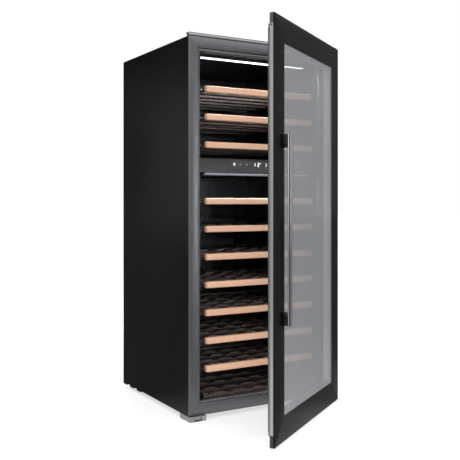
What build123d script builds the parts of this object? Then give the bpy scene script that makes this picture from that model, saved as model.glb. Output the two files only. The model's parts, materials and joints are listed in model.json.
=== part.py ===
"""Built-in two-zone wine cooler with a glass door, ten sliding beech shelves and its cooling unit.

Millimetres. +Z is up, the front faces -Y, and +X is the hinge side. The origin is on the floor,
under the middle of the cabinet. The door is modelled standing open by door_rest_angle.
"""

import os
from math import cos, pi, radians, sin

from build123d import *

os.makedirs("parts", exist_ok=True)

# ---- Driving dimensions -------------------------------------------------------------------------
cabinet_width = 554
cabinet_depth = 540
cabinet_height = 1208
foot_height = 17
trim_height = 12
skin = 1  # painted sheet of the sides, top and back
frame_thickness = 4  # brushed ring round the front
stile_width = 34
top_rail = 35
bottom_rail = 37
lip = 6  # black strip between the frame and the liner
liner_skin = 2
rear_wall = 46  # insulated back wall
divider_height = 44
divider_bottom = 793

shelf_pitch = 90
lower_shelf_top = 170  # front edge of the lowest shelf
lower_shelves = 7
upper_shelf_top = 892
upper_shelves = 3
shelf_half_width = 210.5
shelf_front_height = 20
shelf_front_thickness = 18
bottle_pitch = 73
bottle_radius = 38
bottles_across = 6
cradle_depth = 6

machine_front = 96  # the machine space under the step at the back
machine_top = 188
step_wall = 36  # insulation over and in front of the machine space

door_width = 588
door_height = 1228
door_bottom = 4.5
door_rest_angle = 34
glass = 4
print_thickness = 0.3
profile_thickness = 10.7
door_liner_thickness = 15
gasket_thickness = 5.5
gasket_gap = 0.5  # between the gasket and the frame when shut
door_border = 75
liner_inset = 24
gasket_inset = 32
gasket_width = 14
axis_from_edge = 10
axis_from_face = 9.5
pin_radius = 3
running_gap = 0.05

handle_length = 548
handle_bottom = 344
handle_standoff = 23.5
handle_inset = 48
handle_width = 13
handle_thickness = 9
post_height = 39
post_width = 10

# ---- Places worked out from them ----------------------------------------------------------------
right = cabinet_width / 2
front = -cabinet_depth / 2
back = cabinet_depth / 2
bottom = foot_height
top = bottom + cabinet_height
roof = top + trim_height
frame_back = front + frame_thickness

hole_right = right - stile_width
hole_bottom = bottom + bottom_rail
hole_top = top - top_rail
room_right = hole_right - lip
room_bottom = hole_bottom + 7
room_top = hole_top - 10
lip_front = front + 1
lip_back = front + 15
room_back = back - rear_wall - 2
step_face = machine_front - step_wall - liner_skin
step_top = machine_top + step_wall + liner_skin
divider_top = divider_bottom + divider_height

shelf_front = front + 2
shelf_back = 176
short_shelf_back = step_face - 8
shelf_tops = [lower_shelf_top + shelf_pitch * n for n in range(lower_shelves)]
shelf_tops += [upper_shelf_top + shelf_pitch * n for n in range(upper_shelves)]

door_thickness = glass + print_thickness + profile_thickness + door_liner_thickness + gasket_thickness
door_face = front - door_thickness - gasket_gap
axis_x = door_width / 2 - axis_from_edge
axis_y = door_face + axis_from_face
door_top = door_bottom + door_height


def slab(low, high, mode=Mode.ADD):
    """Box between two opposite corners, in the current part."""
    size = [b - a for a, b in zip(low, high)]
    middle = [(a + b) / 2 for a, b in zip(low, high)]
    with Locations(tuple(middle)):
        Box(*size, mode=mode)


def rod(centre, radius, length, direction="Z", mode=Mode.ADD):
    """Round bar about a centre, along X, Y or Z."""
    turn = {"X": (0, 90, 0), "Y": (90, 0, 0), "Z": (0, 0, 0)}[direction]
    with Locations(centre):
        Cylinder(radius, length, rotation=turn, mode=mode)


def save(part, label):
    """Name a finished piece and write it."""
    part.label = label
    export_step(part, f"parts/{label}.step")


def ring(plane, outer_low, outer_high, inner_low, inner_high, thickness):
    """Rectangular ring on a plane, grown behind it by its thickness."""
    with BuildSketch(plane) as outline:
        for low, high, mode in ((outer_low, outer_high, Mode.ADD), (inner_low, inner_high, Mode.SUBTRACT)):
            with Locations(((low[0] + high[0]) / 2, (low[1] + high[1]) / 2)):
                Rectangle(high[0] - low[0], high[1] - low[1], mode=mode)
    extrude(outline.sketch, amount=-thickness)


# ---- Cabinet shell ------------------------------------------------------------------------------
def make_shell():
    """Sides, top, back, base pan and the foam between them and the liner."""
    for side, name in ((-1, "side_panel_left"), (1, "side_panel_right")):
        inner, outer = sorted((side * (right - skin), side * right))
        with BuildPart() as side_panel:
            slab((inner, frame_back, bottom), (outer, back, top))
        save(side_panel.part, name)

    inside = right - skin
    rib_low, rib_high = machine_top + 60, top - 80
    rib_middles, rib_half_width, rib_depth = (-140, 140), 9, 3
    with BuildPart() as top_panel:
        slab((-inside, frame_back, top - skin), (inside, back, top))
    save(top_panel.part, "top_panel")

    with BuildPart() as back_panel:
        slab((-inside, back - skin, machine_top), (inside, back, top - skin))
        # Two pressed ribs stiffen the sheet.
        for x in rib_middles:
            slab(
                (x - rib_half_width, back - skin - rib_depth, rib_low),
                (x + rib_half_width, back - skin, rib_high),
            )
    save(back_panel.part, "back_panel")

    pan = 1.5
    with BuildPart() as base_pan:
        slab((-inside, frame_back, bottom), (inside, back - 3, bottom + pan))
        # A row of air slots under the front of the machine space.
        slot_length, slot_width, slot_pitch, slots = 52, 8, 24, 16
        with BuildSketch(Plane.XY.offset(bottom)):
            with Locations((0, machine_front + 40)):
                with GridLocations(slot_pitch, slot_length, slots, 1):
                    SlotOverall(slot_length, slot_width, rotation=90)
        extrude(amount=pan, mode=Mode.SUBTRACT)
    save(base_pan.part, "base_pan")

    with BuildPart() as insulation_foam:
        slab((-inside, frame_back, bottom + pan), (inside, back - skin, top - skin))
        slab((-hole_right, frame_back, hole_bottom), (hole_right, lip_back, hole_top), Mode.SUBTRACT)
        shell = room_right + liner_skin
        slab(
            (-shell, lip_back, room_bottom - liner_skin),
            (shell, step_face + liner_skin, room_top + liner_skin),
            Mode.SUBTRACT,
        )
        slab(
            (-shell, lip_back, step_top - liner_skin),
            (shell, room_back + liner_skin, room_top + liner_skin),
            Mode.SUBTRACT,
        )
        slab((-inside, machine_front, bottom + pan), (inside, back, machine_top), Mode.SUBTRACT)
        for x in rib_middles:
            slab(
                (x - rib_half_width, back - skin - rib_depth, rib_low),
                (x + rib_half_width, back, rib_high),
                Mode.SUBTRACT,
            )
    save(insulation_foam.part, "insulation_foam")


def make_liner():
    """Black inner liner: an open box whose floor steps up over the machine space."""
    shell = room_right + liner_skin
    with BuildPart() as inner_liner:
        with BuildSketch(Plane.YZ.offset(-shell)):
            with BuildLine():
                Polyline(
                    (lip_back, room_bottom - liner_skin),
                    (step_face + liner_skin, room_bottom - liner_skin),
                    (step_face + liner_skin, step_top - liner_skin),
                    (room_back + liner_skin, step_top - liner_skin),
                    (room_back + liner_skin, room_top + liner_skin),
                    (lip_back, room_top + liner_skin),
                    close=True,
                )
            make_face()
        extrude(amount=2 * shell)
        with BuildSketch(Plane.YZ.offset(-room_right)):
            with BuildLine():
                Polyline(
                    (lip_back, room_bottom),
                    (step_face, room_bottom),
                    (step_face, step_top),
                    (room_back, step_top),
                    (room_back, room_top),
                    (lip_back, room_top),
                    close=True,
                )
            make_face()
        extrude(amount=2 * room_right, mode=Mode.SUBTRACT)
    save(inner_liner.part, "inner_liner")


def make_front():
    """Brushed front ring, the black lip inside it and the trim strip along the top edge."""
    with BuildPart() as front_frame:
        ring(
            Plane.XZ.offset(-front),
            (-right, bottom),
            (right, top),
            (-hole_right, hole_bottom),
            (hole_right, hole_top),
            frame_thickness,
        )
        chamfer(front_frame.faces().sort_by(Axis.Y)[0].edges(), 0.8)
    save(front_frame.part, "front_frame")

    with BuildPart() as breaker_strip:
        ring(
            Plane.XZ.offset(-lip_front),
            (-hole_right, hole_bottom),
            (hole_right, hole_top),
            (-room_right, room_bottom),
            (room_right, room_top),
            lip_back - lip_front,
        )
    save(breaker_strip.part, "breaker_strip")

    trim_right = 236
    with BuildPart() as top_trim_strip:
        with BuildSketch(Plane.YZ.offset(-right)):
            with BuildLine():
                Polyline(
                    (front, top + 0.6),
                    (front, roof - 1.5),
                    (front + 1.5, roof),
                    (front + 22, roof),
                    (front + 22, roof - 2),
                    (front + 3, roof - 2),
                    (front + 3, top + 2),
                    (front + 14, top + 2),
                    (front + 14, top),
                    (front + 1, top),
                    close=True,
                )
            make_face()
        extrude(amount=right + trim_right)
    save(top_trim_strip.part, "top_trim_strip")


# ---- Zone divider, controls and lights ----------------------------------------------------------
def make_divider():
    """Insulated divider between the zones, its fascia, display and circuit board."""
    fascia_front = front + 2
    fascia_half = room_right - 0.5
    fascia_low, fascia_high, fascia_wall = divider_bottom + 1, divider_top + 2, 3
    divider_front = front + 20
    pocket_half, pocket_low, pocket_high, pocket_depth = 130, fascia_low + 14, fascia_high - 4, 1
    bond = 0.2  # all round the display window
    with BuildPart() as zone_divider:
        slab((-room_right, divider_front, divider_bottom), (room_right, room_back, divider_top))
        fillet(zone_divider.edges().filter_by(Axis.X).sort_by(Axis.Y)[-2:], 3)
    save(zone_divider.part, "zone_divider")

    with BuildPart() as control_panel:
        slab((-fascia_half, fascia_front, fascia_low), (fascia_half, divider_front, fascia_high))
        slab(
            (-fascia_half + fascia_wall, fascia_front + fascia_wall, fascia_low + fascia_wall),
            (fascia_half - fascia_wall, divider_front, fascia_high - fascia_wall),
            Mode.SUBTRACT,
        )
        # Shallow pocket that the display window is bonded into.
        slab(
            (-pocket_half, fascia_front, pocket_low),
            (pocket_half, fascia_front + pocket_depth, pocket_high),
            Mode.SUBTRACT,
        )
        fillet(control_panel.edges().filter_by(Axis.X).group_by(Axis.Y)[0].sort_by(Axis.Z)[-1:], 1.5)
    save(control_panel.part, "control_panel")

    with BuildPart() as display_window:
        slab(
            (-pocket_half + bond, fascia_front, pocket_low + bond),
            (pocket_half - bond, fascia_front + pocket_depth, pocket_high - bond),
        )
    save(display_window.part, "display_window")

    board_face = fascia_front + 6
    board_back = board_face + 1.6
    with BuildPart() as control_board:
        slab((-120, board_face, fascia_low + 5), (120, board_back, fascia_high - 5))
        # Chips and sockets: middle and width of each.
        for x, width in ((-90, 16), (-20, 40), (45, 22), (95, 12)):
            slab(
                (x - width / 2, board_back, divider_bottom + 13),
                (x + width / 2, board_back + 3.4, divider_top - 13),
            )
    save(control_board.part, "control_board")

    bar_half = 212
    with BuildPart() as led_bars:
        # On the ceiling of the upper zone, then under the divider behind the fascia:
        # front, depth, ceiling, height, wall and depth of the channel for the lens.
        for bar_front, depth, ceiling, height, wall, channel in (
            (front + 44, 18, room_top, 9, 3, 3),
            (front + 21, 12, divider_bottom, 7, 2, 2.5),
        ):
            low = ceiling - height
            slab((-bar_half, bar_front, low), (bar_half, bar_front + depth, ceiling))
            slab(
                (-bar_half + 4, bar_front + wall, low),
                (bar_half - 4, bar_front + depth - wall, low + channel),
                Mode.SUBTRACT,
            )
    save(led_bars.part, "led_bars")


# ---- Air ducts, fans and evaporators ------------------------------------------------------------
duct_front = room_back - 36
duct_half_width = 165
upper_duct = (divider_top + 24, room_top - 26)
lower_duct = (step_top + 24, divider_bottom - 24)
fan_radius = 46
fan_middle = duct_front + 17
upper_fan_z = 1060
lower_fan_z = 640
condenser_fan_x = 92
condenser_fan_middle = (182, 100)


def make_duct(low, high, fan_z, name):
    """Moulded duct cover, open at the back, with louvres and a guarded fan opening."""
    wall = 2
    with BuildPart() as duct:
        slab((-duct_half_width, duct_front, low), (duct_half_width, room_back, high))
        fillet(duct.edges().filter_by(Axis.Z).sort_by(Axis.Y)[:2], 8)
        slab(
            (-duct_half_width + wall, duct_front + wall, low + wall),
            (duct_half_width - wall, room_back, high - wall),
            Mode.SUBTRACT,
        )
        # Arc slots round the fan, in rings.
        with BuildSketch(Plane.XZ.offset(-duct_front - wall)):
            for radius in (16, 26, 36):
                with Locations((0, fan_z)):
                    with PolarLocations(0, 4):
                        SlotArc(CenterArc((0, 0), radius, 8, 74), 5)
            # Louvres near both ends.
            for z in (low + 40, high - 32):
                with Locations((0, z)):
                    with GridLocations(62, 11, 4, 3):
                        SlotOverall(50, 4)
        extrude(amount=wall, mode=Mode.SUBTRACT)
    save(duct.part, name)


def make_ducts():
    """Both duct covers, the charcoal filters in them and the evaporators behind."""
    make_duct(*upper_duct, upper_fan_z, "air_duct_upper")
    make_duct(*lower_duct, lower_fan_z, "air_duct_lower")

    with BuildPart() as charcoal_filters:
        for x, z in ((-120, upper_fan_z), (-120, lower_fan_z)):
            rod((x, duct_front - 4, z), 24, 8, "Y")
            with Locations((x, duct_front - 8, z)):
                Box(30, 2, 6)
    save(charcoal_filters.part, "charcoal_filters")

    with BuildPart() as evaporators:
        for low in (upper_duct[0] + 10, lower_duct[0] + 10):
            plate_front = room_back - 12
            slab((-140, plate_front + 6, low), (140, plate_front + 8, low + 112))
            for row in range(7):
                z = low + 8 + 16 * row
                slab((-130, plate_front, z - 3), (130, plate_front + 6, z + 3))
                if row:
                    x = 127 if row % 2 else -127
                    slab((x - 3, plate_front, z - 16), (x + 3, plate_front + 6, z))
    save(evaporators.part, "evaporators")


def make_rotor(plane, radius, hub_radius, depth, blades, name):
    """Axial fan rotor: a domed hub and twisted blades, bored from behind for its shaft."""
    with BuildPart() as rotor:
        with BuildSketch(plane.offset(-depth / 2)):
            Circle(hub_radius)
        extrude(amount=depth)
        fillet(rotor.edges().filter_by(GeomType.CIRCLE).sort_by(SortBy.DISTANCE)[-1:], 2)
        pitch = radians(32)
        chord = 0.46 * radius
        for n in range(blades):
            around = 2 * pi * n / blades
            outwards = plane.x_dir * cos(around) + plane.y_dir * sin(around)
            sideways = plane.y_dir * cos(around) - plane.x_dir * sin(around)
            across = Plane(
                origin=plane.origin + outwards * (hub_radius - 2),
                x_dir=sideways * cos(pitch) + plane.z_dir * sin(pitch),
                z_dir=outwards,
            )
            with BuildSketch(across):
                RectangleRounded(chord, 2, 0.9)
            extrude(amount=radius - hub_radius + 1)
        with BuildSketch(plane.offset(-depth / 2)):
            Circle(2 + running_gap)
        extrude(amount=depth - 3, mode=Mode.SUBTRACT)
    save(rotor.part, name)


def make_fans():
    """Three fan rotors, and the motors and shafts that carry them."""
    for z, name in ((upper_fan_z, "fan_upper"), (lower_fan_z, "fan_lower")):
        plane = Plane(origin=(0, fan_middle, z), x_dir=(1, 0, 0), z_dir=(0, -1, 0))
        make_rotor(plane, fan_radius, 17, 14, 7, name)
    plane = Plane(origin=(condenser_fan_x, *condenser_fan_middle), x_dir=(0, 1, 0), z_dir=(1, 0, 0))
    make_rotor(plane, 55, 20, 16, 5, "condenser_fan")

    with BuildPart() as fan_motors:
        for z in (upper_fan_z, lower_fan_z):
            rod((0, room_back - 5, z), 20, 10, "Y")
            shaft_front = fan_middle - 2
            rod((0, (shaft_front + room_back) / 2, z), 2, room_back - shaft_front, "Y")
        y, z = condenser_fan_middle
        # Condenser fan motor on its leg.
        rod((condenser_fan_x - 24, y, z), 22, 28, "X")
        rod((condenser_fan_x - 12, y, z), 2, 32, "X")
        slab((condenser_fan_x - 34, y - 12, bottom + 1.5), (condenser_fan_x - 28, y + 12, z))
        slab((condenser_fan_x - 34, y - 26, bottom + 1.5), (condenser_fan_x - 16, y + 26, bottom + 4.5))
    save(fan_motors.part, "fan_motors")


# ---- Shelves ------------------------------------------------------------------------------------
def add_cradle_slats(low, slat_top, backs, slat_width, half_width):
    """Cross slats scooped out for bottles that lie front to back."""
    first = -bottle_pitch * (bottles_across - 1) / 2
    for y in backs:
        with BuildSketch(Plane.XZ.offset(-y)) as slat:
            with Locations((0, (low + slat_top) / 2)):
                Rectangle(2 * half_width, slat_top - low)
            for n in range(bottles_across):
                with Locations((first + bottle_pitch * n, slat_top - cradle_depth + bottle_radius)):
                    Circle(bottle_radius, mode=Mode.SUBTRACT)
        extrude(slat.sketch, amount=-slat_width)


def make_shelf(shelf_top, shelf_rear, name):
    """Glued beech shelf: front strip, side rails with sliding tongues, and cradle slats."""
    low = shelf_top - 18.5
    deck = shelf_top - 6
    rail_outer = shelf_half_width - 0.5
    rail_inner = rail_outer - 7
    front_back = shelf_front + shelf_front_thickness
    with BuildPart() as shelf:
        slab(
            (-shelf_half_width, shelf_front, shelf_top - shelf_front_height),
            (shelf_half_width, front_back, shelf_top),
        )
        fillet(shelf.faces().sort_by(Axis.Y)[0].edges(), 2.5)
        for side in (-1, 1):
            for a, b, z0, z1, y0 in (
                (rail_inner, rail_outer, low, deck, front_back),
                (rail_outer, room_right - 3.5, shelf_top - 17, shelf_top - 10, front_back + 8),
            ):
                x0, x1 = sorted((side * a, side * b))
                slab((x0, y0, z0), (x1, shelf_rear, z1))
        slab((-rail_inner, shelf_rear - 16, low), (rail_inner, shelf_rear, deck))
        depth = shelf_rear - 16 - front_back
        count = 5 if depth > 350 else 4
        gap = (depth - 24 * count) / (count + 1)
        starts = [front_back + gap * (n + 1) + 24 * n for n in range(count)]
        add_cradle_slats(low, deck, starts, 24, rail_inner)
    save(shelf.part, name)


def make_shelves():
    """Ten shelves, the channels they slide in, and the fixed rack on the floor."""
    for number, shelf_top in enumerate(shelf_tops, 1):
        rear = short_shelf_back if shelf_top < step_top else shelf_back
        make_shelf(shelf_top, rear, f"shelf_{number:02d}")

    with BuildPart() as shelf_runners:
        for shelf_top in shelf_tops:
            rear = short_shelf_back if shelf_top < step_top else shelf_back
            for side in (-1, 1):
                for a, b, z0, z1 in (
                    (room_right - 2.5, room_right, -20, -7),
                    (room_right - 15.5, room_right - 2.5, -20, -17.5),
                    (room_right - 15.5, room_right - 2.5, -9.5, -7),
                ):
                    x0, x1 = sorted((side * a, side * b))
                    slab((x0, lip_back + 9, shelf_top + z0), (x1, rear, shelf_top + z1))
    save(shelf_runners.part, "shelf_runners")

    floor = room_bottom
    with BuildPart() as bottom_rack:
        for side in (-1, 1):
            x0, x1 = sorted((side * (shelf_half_width - 16), side * shelf_half_width))
            slab((x0, shelf_front + 22, floor), (x1, short_shelf_back, floor + 16))
        starts = [shelf_front + 22 + 70 * n for n in range(4)]
        add_cradle_slats(floor, floor + 14, starts, 24, shelf_half_width - 16)
    save(bottom_rack.part, "bottom_rack")


# ---- Machine space ------------------------------------------------------------------------------
def make_machine():
    """Compressor, condenser, pipes, drip tray, rear cover and power inlet."""
    pan_top = bottom + 1.5
    x, y = -125, 182  # middle of the compressor
    shell_bottom = pan_top + 16
    foot_reach, foot_middle = 84, 50
    with BuildPart() as compressor:
        with BuildSketch(Plane(origin=(x, y, 0), x_dir=(1, 0, 0), z_dir=(0, -1, 0))):
            with BuildLine():
                Polyline(
                    (0, shell_bottom),
                    (44, shell_bottom),
                    (62, shell_bottom + 12),
                    (66, shell_bottom + 50),
                    (68, shell_bottom + 54),
                    (68, shell_bottom + 60),
                    (65, shell_bottom + 64),
                    (60, shell_bottom + 100),
                    (42, shell_bottom + 118),
                    (0, shell_bottom + 122),
                    close=True,
                )
            make_face()
        revolve(axis=Axis((x, y, 0), (0, 0, 1)))
        fillet(compressor.edges().filter_by(GeomType.CIRCLE).sort_by(Axis.Z)[-2:], 6)
        # Mounting feet and the box over the terminals.
        for foot_y in (y - foot_middle, y + foot_middle):
            slab((x - foot_reach, foot_y - 10, pan_top + 13), (x + foot_reach, foot_y + 10, pan_top + 16))
        slab((x - 30, y - 60, pan_top + 13), (x + 30, y + 60, pan_top + 17))
        slab((x - 86, y - 24, pan_top + 48), (x - 58, y + 24, pan_top + 100))
    save(compressor.part, "compressor")

    with BuildPart() as compressor_grommets:
        for foot_x in (x - foot_reach + 10, x + foot_reach - 10):
            for foot_y in (y - foot_middle, y + foot_middle):
                rod((foot_x, foot_y, pan_top + 6.5), 9, 13)
    save(compressor_grommets.part, "compressor_grommets")

    block_left, block_right, block_front, block_back = 120, 236, 118, 246
    fins, fin_pitch, fin_thickness, plate = 15, 7, 1.2, 3
    with BuildPart() as condenser:
        for n in range(fins):
            fin = block_left + 6 + fin_pitch * n
            slab((fin, block_front + 4, 40), (fin + fin_thickness, block_back - 4, 158))
        for tube_y in (142, 182, 222):
            for tube_z in (60, 99, 138):
                rod(((block_left + block_right) / 2 + 1, tube_y, tube_z), 4, 118, "X")
        # Shroud plate with the round opening for the fan, then the two foot rails.
        slab((block_left, block_front, pan_top), (block_left + plate, block_back, 162))
        rod((block_left + 2, *condenser_fan_middle), 57, 8, "X", Mode.SUBTRACT)
        for rail in (block_front, block_back - 4):
            slab((block_left, rail, pan_top), (block_right, rail + 4, 44))
    save(condenser.part, "condenser")

    pipe_radius = 3
    routes = (
        [(x + 60, y - 20, 112), (x + 86, y - 20, 112), (x + 86, 112, 112), (130, 112, 112), (130, 124, 112)],
        [(x, y + 58, 96), (x, y + 74, 96), (x, y + 74, machine_top)],
    )
    with BuildPart() as refrigerant_pipes:
        for route in routes:
            with BuildLine():
                path = FilletPolyline(*route, radius=5)
            with BuildSketch(Plane(origin=path @ 0, z_dir=path % 0)):
                Circle(pipe_radius)
            sweep(path=path)
        # Filter drier in the liquid line.
        rod((20, 112, 112), 9, 74, "X")
    save(refrigerant_pipes.part, "refrigerant_pipes")

    tray_low, tray_high, tray_wall = 158, 180, 3
    with BuildPart() as drip_tray:
        slab((x - 56, y - 46, tray_low), (x + 56, y + 46, tray_high))
        slab(
            (x - 56 + tray_wall, y - 46 + tray_wall, tray_low + tray_wall),
            (x + 56 - tray_wall, y + 46 - tray_wall, tray_high),
            Mode.SUBTRACT,
        )
    save(drip_tray.part, "drip_tray")

    inlet_x, inlet_z = -30, 60
    cover_half = right - skin - 1
    screw_places = [(sx, sz) for sx in (-255, 0, 255) for sz in (28, 180)]
    with BuildPart() as rear_cover:
        slab((-cover_half, back - 3, bottom + 1), (cover_half, back - 1.5, machine_top))
        with BuildSketch(Plane.XZ.offset(-back)):
            for column in (-150, 150):
                with Locations((column, 104)):
                    with GridLocations(76, 14, 2, 8):
                        SlotOverall(64, 6)
            with Locations((inlet_x, inlet_z)):
                Rectangle(50, 30)
            with Locations(*screw_places):
                Circle(2.2)
        extrude(amount=4, mode=Mode.SUBTRACT)
    save(rear_cover.part, "rear_cover")

    with BuildPart() as power_inlet:
        slab((inlet_x - 25, back - 28, inlet_z - 15), (inlet_x + 25, back - 1.5, inlet_z + 15))
        slab((inlet_x - 14, back - 20, inlet_z - 10), (inlet_x + 14, back, inlet_z + 10), Mode.SUBTRACT)
        # Three flat pins, the middle one higher.
        for offset, rise in ((-7, -3), (0, 3), (7, -3)):
            slab(
                (inlet_x + offset - 1, back - 22, inlet_z + rise - 2),
                (inlet_x + offset + 1, back - 5, inlet_z + rise + 2),
            )
    save(power_inlet.part, "power_inlet")
    return screw_places


# ---- Feet, hinges and screws --------------------------------------------------------------------
bracket_width = 59
bracket_front = front - 8
bracket_back = bracket_front + 70
plate_bottom = 0.5
plate_thickness = 3


def make_bracket_block(side):
    """Front foot block, flush with the cabinet's side, with an open pocket in its nose."""
    x0, x1 = sorted((side * (right - bracket_width), side * right))
    slab((x0, bracket_front, 0), (x1, bracket_back, foot_height))
    middle = (x0 + x1) / 2
    slab((middle - 13, bracket_front, 1.5), (middle + 13, bracket_front + 9, 14.5), Mode.SUBTRACT)
    slab((middle - 12, bracket_front + 1, 7), (middle + 10, bracket_front + 9, 14.5))


def make_hinges(screw_places):
    """Feet, hinge brackets with their pins, and the screws."""
    with BuildPart() as foot_bracket_left:
        make_bracket_block(-1)
        chamfer(foot_bracket_left.edges().filter_by(Axis.Z).sort_by(Axis.Y)[:1], 1.5)
    save(foot_bracket_left.part, "foot_bracket_left")

    with BuildPart() as hinge_bracket_bottom:
        make_bracket_block(1)
        with BuildSketch(Plane.XY.offset(plate_bottom)):
            with Locations(((axis_x + 250) / 2 + 3.5, (axis_y + bracket_front) / 2)):
                Rectangle(axis_x - 250 + 7, bracket_front - axis_y)
            with Locations((axis_x, axis_y)):
                Circle(7)
            with Locations(((axis_x + 260) / 2, axis_y)):
                Rectangle(axis_x - 260, 14)
        extrude(amount=plate_thickness)
        pin_middle = (axis_x, axis_y, plate_bottom + plate_thickness / 2)
        rod(pin_middle, pin_radius, plate_thickness, "Z", Mode.SUBTRACT)
    save(hinge_bracket_bottom.part, "hinge_bracket_bottom")

    arm_low = roof - plate_thickness
    with BuildPart() as hinge_bracket_top:
        slab((244, front + 8, top), (right, front + 76, top + 3))
        slab((244, front + 4, top), (right, front + 8, roof))
        slab((258, axis_y, arm_low), (axis_x + 7, front + 8, roof))
        pin_middle = (axis_x, axis_y, arm_low + plate_thickness / 2)
        rod(pin_middle, 7, plate_thickness)
        rod(pin_middle, pin_radius, plate_thickness, "Z", Mode.SUBTRACT)
        with Locations((260, front + 28, top + 1.5), (260, front + 58, top + 1.5)):
            Cylinder(2.5, 3, mode=Mode.SUBTRACT)
    save(hinge_bracket_top.part, "hinge_bracket_top")

    pin_reach = 18
    with BuildPart() as hinge_pins:
        rod((axis_x, axis_y, plate_bottom + pin_reach / 2), pin_radius, pin_reach)
        rod((axis_x, axis_y, roof - pin_reach / 2), pin_radius, pin_reach)
    save(hinge_pins.part, "hinge_pins")

    with BuildPart() as cabinet_screws:
        # Pan heads on the top bracket, then on the rear cover.
        for y in (front + 28, front + 58):
            rod((260, y, top + 4.2), 4.5, 2.4)
            rod((260, y, top + 1.5), 2.4, 3)
        for x, z in screw_places:
            rod((x, back - 0.6, z), 4, 1.8, "Y")
            rod((x, back - 2.5, z), 2.1, 3, "Y")
    save(cabinet_screws.part, "cabinet_screws")

    with BuildPart() as base_pads:
        # Two rear feet, then three edge clips along each side.
        for side in (-1, 1):
            rod((side * 225, back - 48, foot_height / 2), 20, foot_height)
            for y in (back - 14, back - 76, back - 140):
                x0, x1 = sorted((side * (right - 9), side * (right - 1)))
                slab((x0, y - 16, foot_height - 6), (x1, y + 16, foot_height))
    save(base_pads.part, "base_pads")


# ---- Door ---------------------------------------------------------------------------------------
turn = radians(door_rest_angle)
hinge_plane = Plane(
    origin=(axis_x, axis_y, 0), x_dir=(cos(turn), sin(turn), 0), z_dir=(sin(turn), -cos(turn), 0)
)
door_edge = axis_from_edge  # distances along the door, from the hinge axis
door_free = axis_from_edge - door_width
glass_back = axis_from_face - glass
print_back = glass_back - print_thickness
profile_back = print_back - profile_thickness
liner_back = profile_back - door_liner_thickness
bottom_cap = 35
top_cap = 20
corner_cap = 30  # the top cap turns down this far at the free edge
profile_width = 25


def door_corners(inset):
    """Lower-left and upper-right corners of the door's outline, moved inwards."""
    return (door_free + inset, door_bottom + inset), (door_edge - inset, door_top - inset)


def door_ring(outer_inset, inner_inset, face, thickness):
    """Ring in the plane of the door, from a face backwards."""
    ring(hinge_plane.offset(face), *door_corners(outer_inset), *door_corners(inner_inset), thickness)


def door_block(x0, x1, z0, z1, face, thickness, mode=Mode.ADD):
    """Block in the plane of the door, from a face backwards."""
    with BuildSketch(hinge_plane.offset(face)) as outline:
        with Locations(((x0 + x1) / 2, (z0 + z1) / 2)):
            Rectangle(abs(x1 - x0), z1 - z0)
    extrude(outline.sketch, amount=-thickness, mode=mode)


def make_door():
    """Glazing, profiles, end caps, liner and gasket of the door."""
    low, high = door_corners(0)
    with BuildPart() as outer_glass:
        door_block(low[0], high[0], low[1], high[1], axis_from_face, glass)
        chamfer(outer_glass.edges(), 0.6)
    save(outer_glass.part, "outer_glass")

    with BuildPart() as glass_border:
        door_ring(1, door_border, glass_back, print_thickness)
    save(glass_border.part, "glass_border")

    with BuildPart() as door_side_profiles:
        for x0, x1, z1 in (
            (door_free, door_free + profile_width, door_top - corner_cap),
            (door_edge - profile_width, door_edge, door_top - top_cap),
        ):
            door_block(x0, x1, door_bottom + bottom_cap, z1, print_back, profile_thickness)
        # Screw access hole in the free edge, near its top.
        with Locations(hinge_plane.offset(print_back - profile_thickness / 2)):
            with Locations((door_free + 3, door_top - corner_cap - 5, 0)):
                Cylinder(2.6, 8, rotation=(0, 90, 0), mode=Mode.SUBTRACT)
    save(door_side_profiles.part, "door_side_profiles")

    with BuildPart() as door_end_caps:
        for x1, z0, z1 in (
            (door_edge, door_bottom, door_bottom + bottom_cap),
            (door_edge, door_top - top_cap, door_top),
            (door_free + profile_width, door_top - corner_cap, door_top - top_cap),
        ):
            door_block(door_free, x1, z0, z1, print_back, profile_thickness)
        for z in (door_bottom + 8, door_top - 8):
            rod((axis_x, axis_y, z), 4.5, 16, "Z", Mode.SUBTRACT)
    save(door_end_caps.part, "door_end_caps")

    with BuildPart() as hinge_bushes:
        for z in (door_bottom + 8, door_top - 8):
            rod((axis_x, axis_y, z), 4.5, 16)
            rod((axis_x, axis_y, z), pin_radius + running_gap, 16, "Z", Mode.SUBTRACT)
    save(hinge_bushes.part, "hinge_bushes")

    pane_inset = door_border - 15
    with BuildPart() as door_liner:
        door_ring(liner_inset, door_border, profile_back, door_liner_thickness)
        rebate_low, rebate_high = door_corners(pane_inset)
        rebate = (rebate_low[0], rebate_high[0], rebate_low[1], rebate_high[1])
        door_block(*rebate, liner_back + glass, glass, Mode.SUBTRACT)
    save(door_liner.part, "door_liner")

    with BuildPart() as inner_glass:
        pane_low, pane_high = door_corners(pane_inset + 0.5)
        door_block(pane_low[0], pane_high[0], pane_low[1], pane_high[1], liner_back + glass, glass)
    save(inner_glass.part, "inner_glass")

    with BuildPart() as glass_spacer:
        door_ring(door_border, door_border + 7, print_back, print_back - liner_back - glass)
    save(glass_spacer.part, "glass_spacer")

    with BuildPart() as door_gasket:
        door_ring(gasket_inset, gasket_inset + gasket_width, liner_back, gasket_thickness)
    save(door_gasket.part, "door_gasket")


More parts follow.
